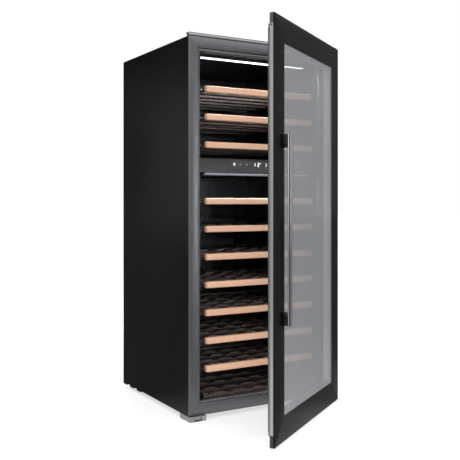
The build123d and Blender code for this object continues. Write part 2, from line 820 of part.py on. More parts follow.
def make_handle():
    """Flat bar handle on two posts, screwed from inside the door."""
    middle = door_free + handle_inset
    handle_top = handle_bottom + handle_length
    post_face = axis_from_face + handle_standoff
    posts = (handle_bottom, handle_top - post_height)
    with BuildPart() as handle_bar:
        door_block(
            middle - handle_width / 2,
            middle + handle_width / 2,
            handle_bottom,
            handle_top,
            post_face + handle_thickness,
            handle_thickness,
        )
        chamfer(handle_bar.edges().filter_by(Axis.Z), 1.2)
    save(handle_bar.part, "handle_bar")

    with BuildPart() as handle_posts:
        for low in posts:
            door_block(
                middle - post_width / 2,
                middle + post_width / 2,
                low,
                low + post_height,
                post_face,
                handle_standoff,
            )
        fillet(handle_posts.edges().filter_by(Axis.Z), 0.8)
    save(handle_posts.part, "handle_posts")

    with BuildPart() as handle_screws:
        for low in posts:
            for z in (low + 10, low + post_height - 10):
                with BuildSketch(hinge_plane.offset(profile_back)):
                    with Locations((middle, z)):
                        Circle(3.5)
                extrude(amount=2)
    save(handle_screws.part, "handle_screws")


make_shell()
make_liner()
make_front()
make_divider()
make_ducts()
make_fans()
make_shelves()
make_hinges(make_machine())
make_door()
make_handle()
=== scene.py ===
# Two-zone wine cooler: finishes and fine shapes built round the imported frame.
# Metres. +Z is up, the front faces -Y, the door hinges on the right and stands open at rest.
import json

import bmesh
import bpy
import numpy as np
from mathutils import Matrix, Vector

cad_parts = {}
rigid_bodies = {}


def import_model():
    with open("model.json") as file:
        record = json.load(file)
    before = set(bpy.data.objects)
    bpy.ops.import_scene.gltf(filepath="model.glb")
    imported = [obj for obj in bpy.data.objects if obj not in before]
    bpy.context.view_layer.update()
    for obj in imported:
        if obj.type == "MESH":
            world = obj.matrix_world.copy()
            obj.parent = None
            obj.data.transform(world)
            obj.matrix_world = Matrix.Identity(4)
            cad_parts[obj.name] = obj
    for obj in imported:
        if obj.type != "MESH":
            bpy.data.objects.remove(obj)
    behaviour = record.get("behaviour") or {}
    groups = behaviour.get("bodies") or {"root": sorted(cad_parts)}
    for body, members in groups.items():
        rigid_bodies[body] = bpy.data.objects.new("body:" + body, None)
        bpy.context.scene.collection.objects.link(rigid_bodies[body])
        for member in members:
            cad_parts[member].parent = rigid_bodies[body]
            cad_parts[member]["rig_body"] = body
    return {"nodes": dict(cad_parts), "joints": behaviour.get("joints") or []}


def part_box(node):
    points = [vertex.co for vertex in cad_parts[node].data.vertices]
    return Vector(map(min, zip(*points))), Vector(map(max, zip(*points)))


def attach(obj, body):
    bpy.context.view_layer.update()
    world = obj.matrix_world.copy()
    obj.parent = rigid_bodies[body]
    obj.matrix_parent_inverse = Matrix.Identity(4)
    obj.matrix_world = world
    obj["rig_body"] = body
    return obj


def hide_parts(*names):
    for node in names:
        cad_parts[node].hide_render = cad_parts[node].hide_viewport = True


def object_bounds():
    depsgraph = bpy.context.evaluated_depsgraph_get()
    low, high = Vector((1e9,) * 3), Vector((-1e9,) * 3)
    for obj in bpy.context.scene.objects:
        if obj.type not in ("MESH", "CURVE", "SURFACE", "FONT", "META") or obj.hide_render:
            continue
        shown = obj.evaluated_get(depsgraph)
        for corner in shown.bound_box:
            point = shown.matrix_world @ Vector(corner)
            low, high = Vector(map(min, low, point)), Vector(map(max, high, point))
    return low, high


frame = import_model()
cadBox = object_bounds()
mm = 0.001
alongX, alongY, alongZ = (0, 1, 2), (1, 0, 2), (2, 0, 1)  # axis order that puts a board's length first
print("frame loaded:", len(frame["nodes"]), "nodes")


# Colours are given as they look on a screen, 0 to 255.
def tint(red, green=None, blue=None):
    # linear = ((screen + 0.055) / 1.055) ** 2.4, or screen / 12.92 near black
    screen = np.array([red, red if green is None else green, red if blue is None else blue]) / 255
    linear = np.where(screen > 0.04045, ((screen + 0.055) / 1.055) ** 2.4, screen / 12.92)
    return (*linear.tolist(), 1.0)


# Shapes are point grids, joined and put into a mesh by makePiece.
def sweep(stations, order=alongX, finish=0):
    # One closed profile per station: quad (i, j) joins points (i, j), (i+1, j), (i+1, j+1), (i, j+1).
    rows, columns = stations.shape[:2]
    i, j = np.meshgrid(np.arange(rows - 1), np.arange(columns), indexing="ij")
    here, there = i * columns, (i + 1) * columns
    step = (j + 1) % columns
    corners = np.stack([here + j, there + j, there + step, here + step], 2).reshape(-1, 4)
    ends = np.arange(columns)  # one flat face closes each end
    loops = np.concatenate([corners.ravel(), ends[::-1], ends + (rows - 1) * columns])
    sizes = np.concatenate([np.full(len(corners), 4), [columns, columns]])
    points = stations.reshape(-1, 3)
    return {"points": points, "loops": loops, "sizes": sizes, "grain": points[:, order], "finish": finish}


def roundedProfile(low, high, radius, steps=3):
    # Four quarter circles about the corners' centres: centre + radius * (cos a, sin a).
    low, high = np.array(low, float), np.array(high, float)
    quarter = np.linspace(0, np.pi / 2, steps + 1)
    angle = np.concatenate([quarter + side * np.pi / 2 for side in range(4)])
    signs = np.repeat([(1, 1), (-1, 1), (-1, -1), (1, -1)], steps + 1, axis=0)
    half = (high - low) / 2 - radius
    return (low + high) / 2 + signs * half + radius * np.stack([np.cos(angle), np.sin(angle)], 1)


def roundedBlock(low, high, radius, order=alongX, finish=0, steps=3):
    # A ball cut into octants that are moved out to the corners:
    # point = middle + sign * (half size - radius) + radius * (cos e cos a, cos e sin a, sin e).
    low, high = np.array(low, float), np.array(high, float)
    quarter = np.linspace(0, np.pi / 2, steps + 1)
    around = np.concatenate([quarter + side * np.pi / 2 for side in range(4)])
    rise = np.concatenate([quarter - np.pi / 2, quarter])
    e, a = np.meshgrid(rise, around, indexing="ij")
    signX = np.repeat([1, -1, -1, 1], steps + 1)[None, :] + 0 * e
    signY = np.repeat([1, 1, -1, -1], steps + 1)[None, :] + 0 * e
    signZ = np.repeat([-1, 1], steps + 1)[:, None] + 0 * e
    half = (high - low) / 2 - radius
    ball = np.stack([np.cos(e) * np.cos(a), np.cos(e) * np.sin(a), np.sin(e)], 2)
    points = (low + high) / 2 + np.stack([signX, signY, signZ], 2) * half + radius * ball
    return sweep(points, order, finish)


def mitredBar(outer, inner, profile, order, finish=0):
    # One side of a picture frame: outer[k] + (inner[k] - outer[k]) * s at both mitres, with depth y.
    outer, inner, profile = (np.array(values, float) for values in (outer, inner, profile))
    share, depth = profile[:, 0], profile[:, 1]
    flat = outer[:, None, :] + (inner - outer)[:, None, :] * share[None, :, None]
    return sweep(np.stack([flat[:, :, 0], depth + 0 * flat[:, :, 0], flat[:, :, 1]], 2), order, finish)


def pictureFrame(low, high, widths, profile, finish=0):
    # Four mitred bars between the outer corners and the inner ones; widths are left, right, bottom, top.
    left, right, bottom, top = widths
    gap = 0.03 * mm  # keeps neighbouring mitres apart
    (x0, z0), (x1, z1) = low, high
    innerX0, innerX1, innerZ0, innerZ1 = x0 + left, x1 - right, z0 + bottom, z1 - top
    return [
        mitredBar([(x0 + gap, z0), (x1 - gap, z0)], [(innerX0 + gap, innerZ0), (innerX1 - gap, innerZ0)],
                  profile, alongX, finish),
        mitredBar([(x1, z0 + gap), (x1, z1 - gap)], [(innerX1, innerZ0 + gap), (innerX1, innerZ1 - gap)],
                  profile, alongZ, finish),
        mitredBar([(x1 - gap, z1), (x0 + gap, z1)], [(innerX1 - gap, innerZ1), (innerX0 + gap, innerZ1)],
                  profile, alongX, finish),
        mitredBar([(x0, z1 - gap), (x0, z0 + gap)], [(innerX0, innerZ1 - gap), (innerX0, innerZ0 + gap)],
                  profile, alongZ, finish),
    ]


def turned(profile, middle, axis="z", steps=32, finish=0):
    # A profile of (radius, height) turned about an axis: (r cos a, r sin a, h).
    angle = np.linspace(0, 2 * np.pi, steps, endpoint=False)
    radius, height = np.array(profile, float).T
    across = radius[:, None] * np.cos(angle)
    up = radius[:, None] * np.sin(angle)
    along = height[:, None] + 0 * across
    order = {"x": (along, across, up), "y": (up, along, across), "z": (across, up, along)}[axis]
    return sweep(np.array(middle) + np.stack(order, 2), alongX, finish)


def makePiece(name, parts, finishes, body, replaced=(), place=None, sharp=35):
    # Parts are joined into one mesh; place moves points from a body's own directions into the frame.
    starts = np.cumsum([0] + [len(part["points"]) for part in parts[:-1]])
    points = np.concatenate([part["points"] for part in parts])
    loops = np.concatenate([part["loops"] + start for part, start in zip(parts, starts)])
    sizes = np.concatenate([part["sizes"] for part in parts])
    grain = np.concatenate([part["grain"] + 0.37 * number for number, part in enumerate(parts)])
    finish = np.concatenate([np.full(len(part["sizes"]), part["finish"]) for part in parts])
    if place is not None:
        points = place(points)
    mesh = bpy.data.meshes.new(name)
    mesh.vertices.add(len(points))
    mesh.vertices.foreach_set("co", points.astype(np.float32).ravel())
    mesh.loops.add(len(loops))
    mesh.loops.foreach_set("vertex_index", loops.astype(np.int32))
    mesh.polygons.add(len(sizes))
    mesh.polygons.foreach_set("loop_start", (np.cumsum(sizes) - sizes).astype(np.int32))
    mesh.polygons.foreach_set("material_index", finish.astype(np.int32))
    grainAt = mesh.attributes.new("grainAt", "FLOAT_VECTOR", "POINT")
    grainAt.data.foreach_set("vector", grain.astype(np.float32).ravel())
    mesh.update(calc_edges=True)
    return finishPiece(name, mesh, finishes, body, replaced, sharp)


def finishPiece(name, mesh, finishes, body, replaced, sharp):
    # Doubles merged, faces turned outwards, smooth shading up to the sharp angle.
    work = bmesh.new()
    work.from_mesh(mesh)
    bmesh.ops.remove_doubles(work, verts=work.verts, dist=0.002 * mm)
    bmesh.ops.dissolve_degenerate(work, edges=work.edges, dist=0.001 * mm)
    bmesh.ops.recalc_face_normals(work, faces=work.faces)
    work.to_mesh(mesh)
    work.free()
    mesh.polygons.foreach_set("use_smooth", np.ones(len(mesh.polygons), bool))
    mesh.set_sharp_from_angle(angle=np.radians(sharp))
    piece = bpy.data.objects.new(name, mesh)
    bpy.context.scene.collection.objects.link(piece)
    for material in finishes:
        mesh.materials.append(material)
    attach(piece, body)
    if replaced:
        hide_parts(*replaced)
    return piece


def edgedCopy(node, name, finish, width=0.5, segments=2):
    # A merged copy of a frame node whose hard edges are rounded by a bevel.
    source = frame["nodes"][node]
    mesh = bpy.data.meshes.new(name)
    work = bmesh.new()
    work.from_mesh(source.data)
    bmesh.ops.remove_doubles(work, verts=work.verts, dist=0.002 * mm)
    bmesh.ops.dissolve_limit(work, angle_limit=np.radians(0.5), verts=work.verts, edges=work.edges)
    work.to_mesh(mesh)
    work.free()
    piece = finishPiece(name, mesh, [finish], source["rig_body"], [node], 35)
    bevel = piece.modifiers.new("edges", "BEVEL")
    bevel.width = width * mm
    bevel.segments = segments
    bevel.limit_method = "ANGLE"
    bevel.angle_limit = np.radians(40)
    bevel.harden_normals = True
    return piece


# Effects shared by several finishes are node groups.
def newGroup(name, inputs, outputs):
    # An empty group with named sockets; gives back the group, its input values and its results.
    group = bpy.data.node_groups.new(name, "ShaderNodeTree")
    for label, kind, value in inputs:
        socket = group.interface.new_socket(name=label, in_out="INPUT", socket_type=kind)
        if value is not None:
            socket.default_value = value
    for label, kind in outputs:
        group.interface.new_socket(name=label, in_out="OUTPUT", socket_type=kind)
    return group, group.nodes.new("NodeGroupInput").outputs, group.nodes.new("NodeGroupOutput").inputs


def node(tree, kind, links=(), **settings):
    # A node with its settings; links pairs an input with a socket or a plain value.
    made = tree.nodes.new(kind)
    for key, value in settings.items():
        setattr(made, key, value)
    for key, value in dict(links).items():
        if isinstance(value, bpy.types.NodeSocket):
            tree.links.new(value, made.inputs[key])
        else:
            made.inputs[key].default_value = value
    return made


def math(tree, operation, first, second=0.0, third=0.0):
    # One sum on up to three values: first, second and third combined by the named operation.
    return node(tree, "ShaderNodeMath", {0: first, 1: second, 2: third}, operation=operation).outputs[0]


def spread(tree, value, low, high, toLow=0.0, toHigh=1.0):
    # Map Range: value between low and high becomes toLow to toHigh, and no further.
    return node(tree, "ShaderNodeMapRange", {0: value, 1: low, 2: high, 3: toLow, 4: toHigh}).outputs[0]


def blendColour(tree, share, first, second):
    # colour = first * (1 - share) + second * share
    mix = node(tree, "ShaderNodeMix", data_type="RGBA")
    for key, value in ((0, share), (6, first), (7, second)):
        if isinstance(value, bpy.types.NodeSocket):
            tree.links.new(value, mix.inputs[key])
        else:
            mix.inputs[key].default_value = value
    return mix.outputs[2]


def makeStreakGroup():
    # Brushing: two noises squeezed along the length, streak = 0.65 fine + 0.35 broad.
    inputs = [("Vector", "NodeSocketVector", None), ("Length", "NodeSocketFloat", 6.0),
              ("Fineness", "NodeSocketFloat", 900.0)]
    group, given, result = newGroup("brushStreak", inputs, [("Streak", "NodeSocketFloat")])
    across = given["Fineness"]
    stretch = node(group, "ShaderNodeCombineXYZ", {0: given["Length"], 1: across, 2: across}).outputs[0]
    scaled = node(group, "ShaderNodeVectorMath", {0: given["Vector"], 1: stretch}, operation="MULTIPLY")
    fine = node(group, "ShaderNodeTexNoise", {"Vector": scaled.outputs[0], "Scale": 1.0, "Detail": 2.0})
    broad = node(group, "ShaderNodeTexNoise", {"Vector": scaled.outputs[0], "Scale": 0.13, "Detail": 1.0})
    fineShare = math(group, "MULTIPLY", fine.outputs[0], 0.65)
    total = math(group, "MULTIPLY_ADD", broad.outputs[0], 0.35, fineShare)
    group.links.new(total, result["Streak"])
    return group


def makeMottleGroup():
    # Paint and plastic: slow clouds of tone, and a fine peel for roughness and bump.
    inputs = [("Vector", "NodeSocketVector", None), ("Cloud", "NodeSocketFloat", 9.0),
              ("Peel", "NodeSocketFloat", 900.0)]
    outputs = [("Tone", "NodeSocketFloat"), ("Grain", "NodeSocketFloat")]
    group, given, result = newGroup("paintMottle", inputs, outputs)
    place = given["Vector"]
    cloud = node(group, "ShaderNodeTexNoise", {"Vector": place, "Scale": given["Cloud"], "Detail": 4.0})
    peel = node(group, "ShaderNodeTexNoise", {"Vector": place, "Scale": given["Peel"], "Detail": 1.5})
    group.links.new(spread(group, cloud.outputs[0], 0.3, 0.7), result["Tone"])
    group.links.new(peel.outputs[0], result["Grain"])
    return group


def makeDustGroup():
    # Dust: lies where the normal points up, broken by noise: mask = amount * up ** 3 * noise.
    inputs = [("Vector", "NodeSocketVector", None), ("Amount", "NodeSocketFloat", 0.3)]
    group, given, result = newGroup("settledDust", inputs, [("Mask", "NodeSocketFloat")])
    geometry = node(group, "ShaderNodeNewGeometry")
    parts = node(group, "ShaderNodeSeparateXYZ", {0: geometry.outputs["Normal"]})
    up = math(group, "POWER", math(group, "MAXIMUM", parts.outputs[2], 0.0), 3.0)
    specks = node(group, "ShaderNodeTexNoise", {"Vector": given["Vector"], "Scale": 260.0, "Detail": 5.0})
    broken = spread(group, specks.outputs[0], 0.4, 0.75)
    mask = math(group, "MULTIPLY", math(group, "MULTIPLY", up, given["Amount"]), broken)
    group.links.new(mask, result["Mask"])
    return group


def makeTimberGroup():
    # Beech: rings are noise stretched along the grain; flecks are short dashes where a finer noise is high.
    outputs = [("Figure", "NodeSocketFloat"), ("Fleck", "NodeSocketFloat"), ("Pores", "NodeSocketFloat")]
    group, given, result = newGroup("beechFigure", [("Vector", "NodeSocketVector", None)], outputs)
    for label, stretch, low, high, detail in (
        ("Figure", (3.0, 55.0, 55.0), 0.3, 0.7, 4.0),
        ("Fleck", (70.0, 620.0, 620.0), 0.6, 0.74, 1.0),
        ("Pores", (35.0, 1500.0, 1500.0), 0.35, 0.7, 2.0),
    ):
        scaled = node(group, "ShaderNodeVectorMath", {0: given["Vector"], 1: stretch}, operation="MULTIPLY")
        stretched = scaled.outputs[0]
        noise = node(group, "ShaderNodeTexNoise", {"Vector": stretched, "Scale": 1.0, "Detail": detail})
        group.links.new(spread(group, noise.outputs[0], low, high), result[label])
    return group


streakGroup, mottleGroup = makeStreakGroup(), makeMottleGroup()
dustGroup, timberGroup = makeDustGroup(), makeTimberGroup()


def useGroup(tree, group, **links):
    # Places a group in a material; each named input takes a socket or a plain value.
    made = node(tree, "ShaderNodeGroup", node_tree=group)
    for key, value in links.items():
        if isinstance(value, bpy.types.NodeSocket):
            tree.links.new(value, made.inputs[key])
        else:
            made.inputs[key].default_value = value
    return made.outputs


def newFinish(name, plain):
    # A material whose shader takes its unchanging values straight on its sockets.
    material = bpy.data.materials.new(name)
    material.use_nodes = True
    tree = material.node_tree
    shader = tree.nodes["Principled BSDF"]
    for key, value in plain.items():
        shader.inputs[key].default_value = value
    return material, tree, shader.inputs


def bumpFrom(tree, height, strength, distance):
    # normal = surface normal tilted by the slope of height * distance, mixed in by strength
    bump = node(tree, "ShaderNodeBump", {"Height": height, "Strength": strength, "Distance": distance * mm})
    return bump.outputs[0]


def objectPlace(tree):
    # Where a point lies in the frame, in metres.
    return node(tree, "ShaderNodeTexCoord").outputs["Object"]


def grainPlace(tree):
    # Where a point lies along its own board or bar, length first.
    return node(tree, "ShaderNodeAttribute", attribute_name="grainAt").outputs["Vector"]


dustTint = (150, 146, 140)


def paintedFinish(name, dark, light, rough, cloud=9.0, peel=900.0, bump=0.15, dust=0.12, **plain):
    # Colour runs from dark to light with the clouds, roughness from rough[0] to rough[1]; peel is the bump.
    material, tree, shader = newFinish(name, plain)
    place = objectPlace(tree)
    mottle = useGroup(tree, mottleGroup, Vector=place, Cloud=cloud, Peel=peel)
    settled = useGroup(tree, dustGroup, Vector=place, Amount=dust)["Mask"]
    colour = blendColour(tree, mottle["Tone"], tint(*dark), tint(*light))
    tree.links.new(blendColour(tree, settled, colour, tint(*dustTint)), shader["Base Color"])
    tone = math(tree, "MULTIPLY_ADD", mottle["Grain"], 0.5, math(tree, "MULTIPLY", mottle["Tone"], 0.5))
    tree.links.new(spread(tree, tone, 0.2, 0.8, *rough), shader["Roughness"])
    tree.links.new(bumpFrom(tree, mottle["Grain"], bump, 0.06), shader["Normal"])
    return material


def brushedFinish(name, dark, light, rough, length=6.0, fineness=900.0, bump=0.25, depth=0.06, order=None,
                  **plain):
    # Streaks run along the piece's own length, or along one axis of a frame node where order is given.
    material, tree, shader = newFinish(name, {"Metallic": 1.0, **plain})
    if order is None:
        place = grainPlace(tree)
    else:
        split = node(tree, "ShaderNodeSeparateXYZ", {0: objectPlace(tree)}).outputs
        ordered = {k: split[axis] for k, axis in enumerate(order)}
        place = node(tree, "ShaderNodeCombineXYZ", ordered).outputs[0]
    streak = useGroup(tree, streakGroup, Vector=place, Length=length, Fineness=fineness)["Streak"]
    cloud = useGroup(tree, mottleGroup, Vector=objectPlace(tree), Cloud=5.0)["Tone"]
    streakShare = math(tree, "MULTIPLY", spread(tree, streak, 0.35, 0.65), 0.75)
    mixed = math(tree, "MULTIPLY_ADD", cloud, 0.25, streakShare)
    tree.links.new(blendColour(tree, mixed, tint(*dark), tint(*light)), shader["Base Color"])
    tree.links.new(spread(tree, mixed, 0.0, 1.0, rough[1], rough[0]), shader["Roughness"])
    tree.links.new(bumpFrom(tree, streak, bump, depth), shader["Normal"])
    return material


# Finishes: dark and light colour, then the range of roughness.
sidePaint = paintedFinish("sidePaint", (14,), (20,), (0.24, 0.34), cloud=3.0, peel=1300.0, bump=0.10,
                          dust=0.10, IOR=1.2)
# The back and rear cover are lighter than the side paint: painted light that makes up for the little light
# the back gets.
rearPaintLightened = paintedFinish("rearPaintLightened", (34, 35, 36), (46, 47, 48), (0.4, 0.55), cloud=5.0, peel=1100.0,
                          bump=0.15, dust=0.2)
galvanisedSteel = brushedFinish("galvanisedSteel", (120, 124, 126), (165, 168, 170), (0.32, 0.5),
                                length=60.0, fineness=60.0, bump=0.1, order=alongX)
foamFill = paintedFinish("foamFill", (214, 186, 120), (236, 214, 152), (0.8, 0.95), cloud=30.0,
                         peel=500.0, bump=0.6)
linerPlastic = paintedFinish("linerPlastic", (24, 25, 27), (36, 37, 40), (0.24, 0.4), cloud=6.0,
                             peel=420.0, bump=0.35, dust=0.05)
frameSteel = brushedFinish("frameSteel", (94, 95, 98), (116, 117, 120), (0.34, 0.46), fineness=800.0,
                           bump=0.3, depth=0.1)
lipPlastic = paintedFinish("lipPlastic", (70, 71, 73), (88, 89, 91), (0.3, 0.45), cloud=12.0, bump=0.12)
panelGloss = paintedFinish("panelGloss", (34, 34, 35), (39, 39, 40), (0.14, 0.2), cloud=7.0, peel=1500.0,
                           bump=0.04, dust=0.04, IOR=1.22)
trimMetal = brushedFinish("trimMetal", (150, 151, 153), (182, 183, 184), (0.26, 0.4))
aluminium = brushedFinish("aluminium", (170, 171, 173), (202, 203, 204), (0.24, 0.38), fineness=1300.0)
capPlastic = paintedFinish("capPlastic", (30, 36, 42), (42, 48, 55), (0.35, 0.5), cloud=15.0, bump=0.2)
cornerGrey = paintedFinish("cornerGrey", (62, 63, 65), (88, 89, 91), (0.3, 0.45), cloud=20.0, bump=0.15)
linerGrey = paintedFinish("linerGrey", (92, 93, 95), (112, 113, 115), (0.35, 0.5), cloud=12.0, bump=0.15)
blackPlastic = paintedFinish("blackPlastic", (18, 18, 19), (30, 30, 31), (0.35, 0.52), cloud=15.0,
                             bump=0.25)
compressorPaint = paintedFinish("compressorPaint", (14, 14, 15), (26, 26, 27), (0.28, 0.45), cloud=20.0,
                                peel=300.0, bump=0.3, dust=0.5)
rubberSeal = paintedFinish("rubberSeal", (20, 20, 20), (31, 31, 30), (0.55, 0.72), cloud=25.0,
                           peel=1600.0, bump=0.3)
borderEnamel = paintedFinish("borderEnamel", (14, 14, 14), (18, 18, 18), (0.2, 0.3), cloud=3.0, dust=0.0)
postGloss = paintedFinish("postGloss", (9, 10, 11), (15, 17, 18), (0.06, 0.12), cloud=9.0, bump=0.02,
                          dust=0.04)
barSteel = brushedFinish("barSteel", (196, 196, 198), (222, 222, 224), (0.22, 0.36), fineness=1500.0)
screwSteel = brushedFinish("screwSteel", (130, 131, 134), (176, 177, 180), (0.25, 0.4), length=400.0,
                           order=alongX)
bushNylon = paintedFinish("bushNylon", (214, 212, 206), (232, 230, 226), (0.4, 0.55), cloud=40.0,
                          bump=0.15)
copperPipe = brushedFinish("copperPipe", (176, 98, 66), (216, 138, 100), (0.24, 0.42), length=120.0,
                           fineness=120.0, order=alongX)
charcoalFelt = paintedFinish("charcoalFelt", (24, 24, 25), (44, 44, 45), (0.7, 0.9), cloud=90.0,
                             peel=700.0, bump=0.8)


# The second look is a dark beech that stands in for shade: painted shade on the shelf rails, tongues and
# slats, which are plain beech in shadow.
beechLooks = {"natural": {"ground": (226, 182, 152), "figure": (204, 156, 126), "fleck": (160, 104, 70)},
              "paintedShade": {"ground": (62, 48, 40), "figure": (44, 34, 29), "fleck": (26, 20, 17)}}


def makeBeech(name, look):
    # Colour goes from the light ground to the darker figure, then flecks; pores set bump and roughness.
    material, tree, shader = newFinish(name, {"Coat Weight": 0.12, "Coat Roughness": 0.3})
    timber = useGroup(tree, timberGroup, Vector=grainPlace(tree))
    figureShare = math(tree, "MULTIPLY", timber["Figure"], 0.7)
    ground = blendColour(tree, figureShare, tint(*look["ground"]), tint(*look["figure"]))
    fleckShare = math(tree, "MULTIPLY", timber["Fleck"], 0.45)
    flecked = blendColour(tree, fleckShare, ground, tint(*look["fleck"]))
    tree.links.new(flecked, shader["Base Color"])
    tree.links.new(spread(tree, timber["Pores"], 0.0, 1.0, 0.42, 0.6), shader["Roughness"])
    tree.links.new(bumpFrom(tree, timber["Pores"], 0.35, 0.08), shader["Normal"])
    return material


paneLooks = {"windowGlass": {"grey": (150, 151, 155), "opacity": (0.15, 0.5), "IOR": 1.3},
             "innerPane": {"grey": (70, 72, 74), "opacity": (0.02, 0.08), "IOR": 1.2}}


def makePane(name):
    # Glass with a grey film that is painted reflection of the bright room, over the glass's own gloss:
    # opacity goes from opacity[0] face on to opacity[1] edge on, by the facing weight.
    look = paneLooks[name]
    material, tree, shader = newFinish(name, {"IOR": look["IOR"]})
    mottle = useGroup(tree, mottleGroup, Vector=objectPlace(tree), Cloud=4.0)
    # The grey colour is painted reflection.
    greys = [tint(*[level + lift for level in look["grey"]]) for lift in (0, 4)]
    tree.links.new(blendColour(tree, mottle["Tone"], *greys), shader["Base Color"])
    tree.links.new(spread(tree, mottle["Tone"], 0.0, 1.0, 0.03, 0.08), shader["Roughness"])
    facing = node(tree, "ShaderNodeLayerWeight", {"Blend": 0.5}).outputs["Facing"]
    tree.links.new(spread(tree, facing, 0.05, 0.62, *look["opacity"]), shader["Alpha"])
    return material


lampPitch = 26


def makeGlow(name, colour, strength, dots=0.0):
    # Milky diffuser lit from behind; dots show the lamps at their spacing: 1 + dots * cos(2 pi x / pitch).
    material, tree, shader = newFinish(name, {"Roughness": 0.35, "Emission Strength": strength})
    split = node(tree, "ShaderNodeSeparateXYZ", {0: objectPlace(tree)}).outputs
    wave = math(tree, "COSINE", math(tree, "MULTIPLY", split[0], 2 * np.pi / (lampPitch * mm)))
    level = math(tree, "MULTIPLY_ADD", wave, dots, 1.0 - dots)
    speck = useGroup(tree, mottleGroup, Vector=objectPlace(tree), Cloud=60.0)["Tone"]
    duller, dimmer = tint(*[c - 6 for c in colour]), tint(*[c * 0.55 for c in colour])
    tree.links.new(blendColour(tree, speck, tint(*colour), duller), shader["Base Color"])
    tree.links.new(blendColour(tree, level, dimmer, tint(*colour)), shader["Emission Color"])
    return material


def makeCircuit():
    # Green board with copper tracks from a brick pattern, mottled like solder resist.
    material, tree, shader = newFinish("circuit", {"Specular IOR Level": 0.6})
    split = node(tree, "ShaderNodeSeparateXYZ", {0: objectPlace(tree)}).outputs
    flat = node(tree, "ShaderNodeCombineXYZ", {0: split[0], 1: split[2]}).outputs[0]
    tracks = node(tree, "ShaderNodeTexBrick", {"Vector": flat, "Scale": 120.0, "Mortar Size": 0.06,
                  "Color1": tint(20, 78, 52), "Color2": tint(24, 90, 58), "Mortar": tint(150, 128, 70)})
    mottle = useGroup(tree, mottleGroup, Vector=objectPlace(tree), Cloud=60.0)
    tree.links.new(tracks.outputs["Color"], shader["Base Color"])
    tree.links.new(spread(tree, mottle["Tone"], 0.0, 1.0, 0.3, 0.5), shader["Roughness"])
    tree.links.new(bumpFrom(tree, tracks.outputs["Fac"], 0.4, 0.1), shader["Normal"])
    return material


beech = makeBeech("beech", beechLooks["natural"])
paintedShadeBeech = makeBeech("paintedShadeBeech", beechLooks["paintedShade"])
windowGlass = makePane("windowGlass")
innerPane = makePane("innerPane")
barLight = makeGlow("barLight", (236, 244, 255), 5.0, dots=0.3)
dimLight = makeGlow("dimLight", (200, 210, 225), 0.6)
lineLight = makeGlow("lineLight", (200, 206, 216), 0.6)
markLight = makeGlow("markLight", (250, 252, 255), 1.6)
dimMark = makeGlow("dimMark", (150, 150, 152), 0.35)
circuit = makeCircuit()
blackGlass = paintedFinish("blackGlass", (28,), (31,), (0.05, 0.09), cloud=2.0, peel=60.0, bump=0.0,
                           dust=0.02, IOR=1.08)
print("finishes made:", len(bpy.data.materials))

nodeFinishes = {
    "side_panel_left": sidePaint, "side_panel_right": sidePaint, "top_panel": sidePaint,
    "back_panel": rearPaintLightened, "base_pan": galvanisedSteel, "insulation_foam": foamFill,
    "inner_liner": linerPlastic, "zone_divider": linerPlastic, "control_panel": panelGloss,
    "display_window": panelGloss, "control_board": circuit, "led_bars": blackPlastic,
    "air_duct_upper": linerPlastic, "air_duct_lower": linerPlastic, "fan_motors": blackPlastic,
    "evaporators": galvanisedSteel, "charcoal_filters": charcoalFelt, "shelf_runners": blackPlastic,
    "compressor": compressorPaint, "compressor_grommets": rubberSeal, "condenser": galvanisedSteel,
    "refrigerant_pipes": copperPipe, "drip_tray": blackPlastic, "rear_cover": rearPaintLightened,
    "power_inlet": blackPlastic, "hinge_pins": screwSteel, "cabinet_screws": screwSteel,
    "base_pads": rubberSeal, "glass_border": borderEnamel, "hinge_bushes": bushNylon,
    "inner_glass": innerPane, "glass_spacer": aluminium, "handle_screws": screwSteel,
    "fan_upper": blackPlastic, "fan_lower": blackPlastic, "condenser_fan": blackPlastic,
    "hinge_bracket_bottom": screwSteel, "hinge_bracket_top": screwSteel,
}
for name, finish in nodeFinishes.items():
    mesh = frame["nodes"][name].data
    mesh.materials.clear()
    mesh.materials.append(finish)


def nodeBox(name):
    # Lowest and highest corner of a frame node, as arrays.
    low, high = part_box(name)
    return np.array(low), np.array(high)


# Sizes in the dictionaries of looks are in millimetres.
frontLook = {"edge": 0.8, "lipRound": 1.4, "lipGap": 1.5, "gapFloor": 0.5, "linerSkin": 2}
trimLook = {"seal": 2.4, "gap": 2.6, "depth": 14, "tuck": 2.5, "overlap": 0.2, "bandRound": 0.6,
            "sealRound": 0.7}


def roundedCorner(edge, width, front):
    # A quarter circle: share across = (edge - edge sin a) / width, depth = front + edge - edge cos a.
    arc = np.linspace(0, np.pi / 2, 4)[::-1]
    return np.stack([(edge - edge * np.sin(arc)) / width, front + edge - edge * np.cos(arc)], 1)


def mirrored(corner):
    # The same corner on the bar's other side: share becomes 1 - share, in reverse order.
    return np.stack([1 - corner[::-1, 0], corner[::-1, 1]], 1)


